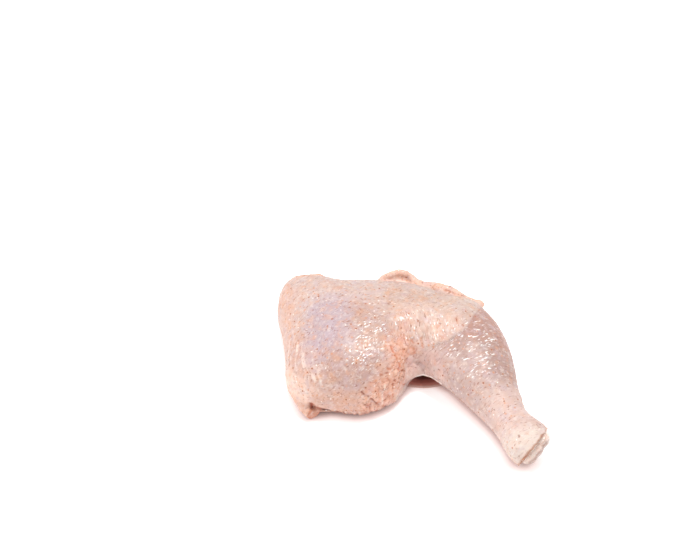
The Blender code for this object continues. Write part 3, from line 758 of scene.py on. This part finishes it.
bump = add(tree, "Bump", {"Height": threads, "Strength": 1.0, "Distance": 0.1 * MM}).outputs[0]
ripples = add(tree, "TexNoise", {"Vector": laid, "Scale": 1 / (0.65 * MM), "Detail": 0.5}).outputs["Fac"]
film_bump = add(tree, "Bump", {"Height": ripples, "Strength": 1.0, "Distance": 0.4 * MM}).outputs[0]
roughness = add(tree, "MapRange", {"Value": specks, "To Min": 0.4, "To Max": 0.6}).outputs[0]
film = add(tree, "MapRange", {"Value": wetness, "From Min": -0.5, "To Max": 0.45}).outputs[0]
for name, value in (
    ("Base Color", colour),
    ("Roughness", roughness),
    ("Normal", bump),
    ("Coat Normal", film_bump),
    ("Coat Weight", film),
):
    tree.links.new(value, shader.inputs[name])
for name, value in (
    ("IOR", 1.4),
    ("Specular IOR Level", 0.25),
    ("Subsurface Weight", 0.12),
    ("Subsurface Radius", (1.0, 0.42, 0.26)),
    ("Subsurface Scale", 1.5 * MM),
    ("Coat Roughness", 0.06),
    ("Coat IOR", 1.5),
):
    shader.inputs[name].default_value = value

# Raw dark meat: bundles of moist fibre with pale seams between them and some yellow fat by the skin.
meat_material, tree, shader = new_material("raw_dark_meat")
where = add(tree, "TexCoord", {}).outputs["Object"]
along = add(tree, "Mapping", {"Vector": where, "Scale": (0.3, 1.0, 1.0)}).outputs[0]
fibres = add(tree, "TexNoise", {"Vector": along, "Scale": 1 / (1.2 * MM), "Detail": 3.0}).outputs["Fac"]
fat = add(tree, "TexNoise", {"Vector": where, "Scale": 1 / (6 * MM), "Detail": 3.0}).outputs["Fac"]
colour = add(tree, "Mix", {0: fibres, 6: linear("#b27970"), 7: linear("#ca978c")}, data_type="RGBA").outputs[2]
share = add(tree, "MapRange", {"Value": fat, "From Min": 0.54, "From Max": 0.6, "To Max": 0.85}).outputs[0]
colour = add(tree, "Mix", {0: share, 6: colour, 7: linear("#d9c6b1")}, data_type="RGBA").outputs[2]
bump = add(tree, "Bump", {"Height": fibres, "Strength": 1.0, "Distance": 0.2 * MM}).outputs[0]
for name, value in (("Base Color", colour), ("Normal", bump), ("Coat Normal", bump)):
    tree.links.new(value, shader.inputs[name])
for name, value in (
    ("Roughness", 0.42),
    ("IOR", 1.4),
    ("Subsurface Weight", 0.2),
    ("Subsurface Radius", (1.0, 0.3, 0.2)),
    ("Subsurface Scale", 3.0 * MM),
    ("Coat Weight", 0.6),
    ("Coat Roughness", 0.14),
    ("Coat IOR", 1.36),
):
    shader.inputs[name].default_value = value

# Cut sinew and joint capsule at the hock: pale, moist and smooth.
sinew_material, tree, shader = new_material("cut_sinew")
for name, value in (
    ("Base Color", linear("#ecd6ca")),
    ("Roughness", 0.35),
    ("IOR", 1.4),
    ("Subsurface Weight", 0.3),
    ("Subsurface Radius", (1.0, 0.6, 0.5)),
    ("Subsurface Scale", 2.0 * MM),
    ("Coat Weight", 0.5),
    ("Coat Roughness", 0.1),
):
    shader.inputs[name].default_value = value

leg.data.materials.clear()
for material in (skin_material, meat_material, sinew_material):
    leg.data.materials.append(material)
raw = read(leg.data.attributes["raw"].data, "value", 1)[:, 0]
cut_middle = Vector(HOCK_CUT_POINT) - Vector((*ORIGIN, 0.0))
for polygon in leg.data.polygons:
    inside_cut = (polygon.center - cut_middle * MM).dot(Vector(HOCK_CUT_NORMAL).normalized())
    in_hollow = -1.0 * MM < inside_cut < 2.0 * MM and polygon.normal.dot(Vector(HOCK_CUT_NORMAL)) > 0.9 and polygon.center.x > 0.05
    if in_hollow:
        polygon.material_index = 2
    elif sum(raw[list(polygon.vertices)]) > 0.5 * len(polygon.vertices):
        polygon.material_index = 1
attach(leg, "root")
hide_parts("leg_quarter")

# The shank bone: only its end shows, two knuckles capped with smooth gristle, in the cut hock.
BONE_HINGE = (0.588, 0.58, 0.564)
BONE_LOBES = (
    ((98.9, -29.7, 14.5), (5.7, 8.8, 5.4)),
    ((93.0, -35.5, 8.9), (5.4, 8.2, 5.2)),
    ((96.1, -33.0, 11.3), (6.0, 8.4, 5.0)),
)
BONE_SHAFT = (
    (95.0, -31.6, 11.8, 6.0, 6.0),
    (91.5, -24.5, 11.9, 4.6, 4.6),
    (86.0, -14.0, 11.4, 3.9, 3.7),
    (79.0, 1.0, 13.0, 3.9, 3.7),
    (71.0, 18.0, 16.6, 4.3, 4.1),
    (64.0, 33.0, 19.2, 5.2, 5.0),
    (60.5, 40.5, 20.0, 5.8, 5.6),
)
BONE_VOXEL = 0.5
BONE_ROUNDS = 6

hinge = Vector(BONE_HINGE).normalized()
across = Vector(HOCK_CUT_NORMAL).cross(hinge).normalized()
turn = Matrix((hinge, across, hinge.cross(across))).transposed().to_4x4()
lobes = bmesh.new()
for centre, radii in BONE_LOBES:
    ellipsoid(lobes, centre, radii, turn)
limb(lobes, BONE_SHAFT, THIN_SIDES)
bone = new_object("shank_bone_end", lobes)
one_skin(bone, BONE_VOXEL, BONE_ROUNDS)
places = read(bone.data.vertices, "co") / MM
normals = read(bone.data.vertex_normals, "vector")
height = 0.22 * rippled(places, 3.4) + 0.06 * rippled(places, 1.2, 2.0)
write_places(bone, places + normals * height[:, None])
# Painted shade: the gristle darkens on its side that faces down and to the right.
shaded_margin = soft_step(normals @ np.array(Vector((0.6, -0.3, -0.75)).normalized()), 0.3, 0.65)
bone.data.attributes.new("shaded_margin", "FLOAT", "POINT").data.foreach_set("value", shaded_margin.astype(np.float32))
bone.data.transform(Matrix.Translation((-ORIGIN[0] * MM, -ORIGIN[1] * MM, 0.0)))
for polygon in bone.data.polygons:
    polygon.use_smooth = True

gristle, tree, shader = new_material("joint_cartilage")
where = add(tree, "TexCoord", {}).outputs["Object"]
clouds = add(tree, "TexNoise", {"Vector": where, "Scale": 1 / (5 * MM), "Detail": 3.0}).outputs["Fac"]
clouds = add(tree, "MapRange", {"Value": clouds, "From Min": 0.38, "From Max": 0.62}).outputs[0]
colour = add(tree, "Mix", {0: clouds, 6: linear("#d6b8aa"), 7: linear("#ecd8cc")}, data_type="RGBA").outputs[2]
stains = add(tree, "TexNoise", {"Vector": where, "Scale": 1 / (2.5 * MM), "Detail": 3.0}).outputs["Fac"]
stain = add(tree, "MapRange", {"Value": stains, "From Min": 0.56, "From Max": 0.64, "To Max": 0.45}).outputs[0]
colour = add(tree, "Mix", {0: stain, 6: colour, 7: linear("#b07f62")}, data_type="RGBA").outputs[2]
# White specks on the gristle: painted glints.
painted_glints = add(tree, "TexNoise", {"Vector": where, "Scale": 1 / (1.0 * MM), "Detail": 1.0}).outputs["Fac"]
share = add(tree, "MapRange", {"Value": painted_glints, "From Min": 0.64, "From Max": 0.68, "To Max": 0.9}).outputs[0]
colour = add(tree, "Mix", {0: share, 6: colour, 7: linear("#fffaf6")}, data_type="RGBA").outputs[2]
shaded_margin = add(tree, "Attribute", {}, attribute_name="shaded_margin").outputs["Fac"]
share = add(tree, "MapRange", {"Value": shaded_margin, "To Max": 0.8}).outputs[0]
colour = add(tree, "Mix", {0: share, 6: colour, 7: linear("#8f6453")}, data_type="RGBA").outputs[2]
tree.links.new(colour, shader.inputs["Base Color"])
for name, value in (
    ("Roughness", 0.3),
    ("IOR", 1.45),
    ("Subsurface Weight", 0.3),
    ("Subsurface Radius", (1.0, 0.7, 0.6)),
    ("Subsurface Scale", 2.5 * MM),
    ("Coat Weight", 0.8),
    ("Coat Roughness", 0.08),
    ("Coat IOR", 1.36),
):
    shader.inputs[name].default_value = value
bone.data.materials.clear()
bone.data.materials.append(gristle)
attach(bone, "root")
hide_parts("shank_bone")

# The studio: a white sweep, a square softbox overhead, and white walls that fill the shadows.
FLOOR_HALF_WIDTH = 3.0
sweep = bmesh.new()
bmesh.ops.create_grid(sweep, x_segments=1, y_segments=1, size=FLOOR_HALF_WIDTH)
floor = new_object("floor", sweep)
paper, tree, shader = new_material("white_paper")
shader.inputs["Base Color"].default_value = linear("#cdcbca")
shader.inputs["Roughness"].default_value = 0.9
shader.inputs["Specular IOR Level"].default_value = 0.0
# The paper glows over the light of the lamps, but less and pinker close to the leg: a painted glow, a painted contact
# shadow, and painted light reflected from the skin.
open_above = add(tree, "AmbientOcclusion", {"Distance": 6.0 * MM}, samples=16).outputs["AO"]
glow = add(tree, "MapRange", {"Value": open_above, "From Min": 0.08, "From Max": 0.62, "To Max": 0.74}).outputs[0]
tree.links.new(glow, shader.inputs["Emission Strength"])
shadow_tint = add(tree, "Mix", {0: open_above, 6: linear("#e8a99d"), 7: linear("#ffffff")}, data_type="RGBA").outputs[2]
tree.links.new(shadow_tint, shader.inputs["Emission Color"])
floor.data.materials.append(paper)

world = bpy.data.worlds.new("white_studio")
world.use_nodes = True
world.node_tree.nodes["Background"].inputs["Color"].default_value = linear("#ffffff")
world.node_tree.nodes["Background"].inputs["Strength"].default_value = 0.48
bpy.context.scene.world = world
bpy.context.scene.view_settings.view_transform = "Standard"

for name, place, size, watts in (
    ("softbox_overhead", (0.12, 0.06, 0.95), 0.2, 6.8),
    ("softbox_left", (-1.15, -0.25, 0.6), 0.9, 8.4),
    ("softbox_right", (1.2, -0.5, 0.7), 0.9, 3.8),
):
    lamp = bpy.data.lights.new(name, "AREA")
    lamp.size = size
    lamp.energy = watts
    light = bpy.data.objects.new(name, lamp)
    light.location = place
    light.rotation_euler = Vector(place).to_track_quat("Z", "Y").to_euler()
    bpy.context.scene.collection.objects.link(light)

# The camera looks along +Y and down 40 degrees, at a point on the floor behind the leg, as the photograph does.
CAMERA_ELEVATION = math.radians(40.0)
CAMERA_DISTANCE = 0.99
CAMERA_AIM = Vector((0.0, 124.6, 0.0)) - Vector((*ORIGIN, 0.0))
lens = bpy.data.cameras.new("camera")
lens.lens = 85.0
lens.sensor_width = 36.0
lens.clip_start = 0.01
camera = bpy.data.objects.new("camera", lens)
away = Vector((0.0, -math.cos(CAMERA_ELEVATION), math.sin(CAMERA_ELEVATION)))
camera.location = CAMERA_AIM * MM + away * CAMERA_DISTANCE
camera.rotation_euler = (math.pi / 2 - CAMERA_ELEVATION, 0.0, 0.0)
bpy.context.scene.collection.objects.link(camera)
bpy.context.scene.camera = camera
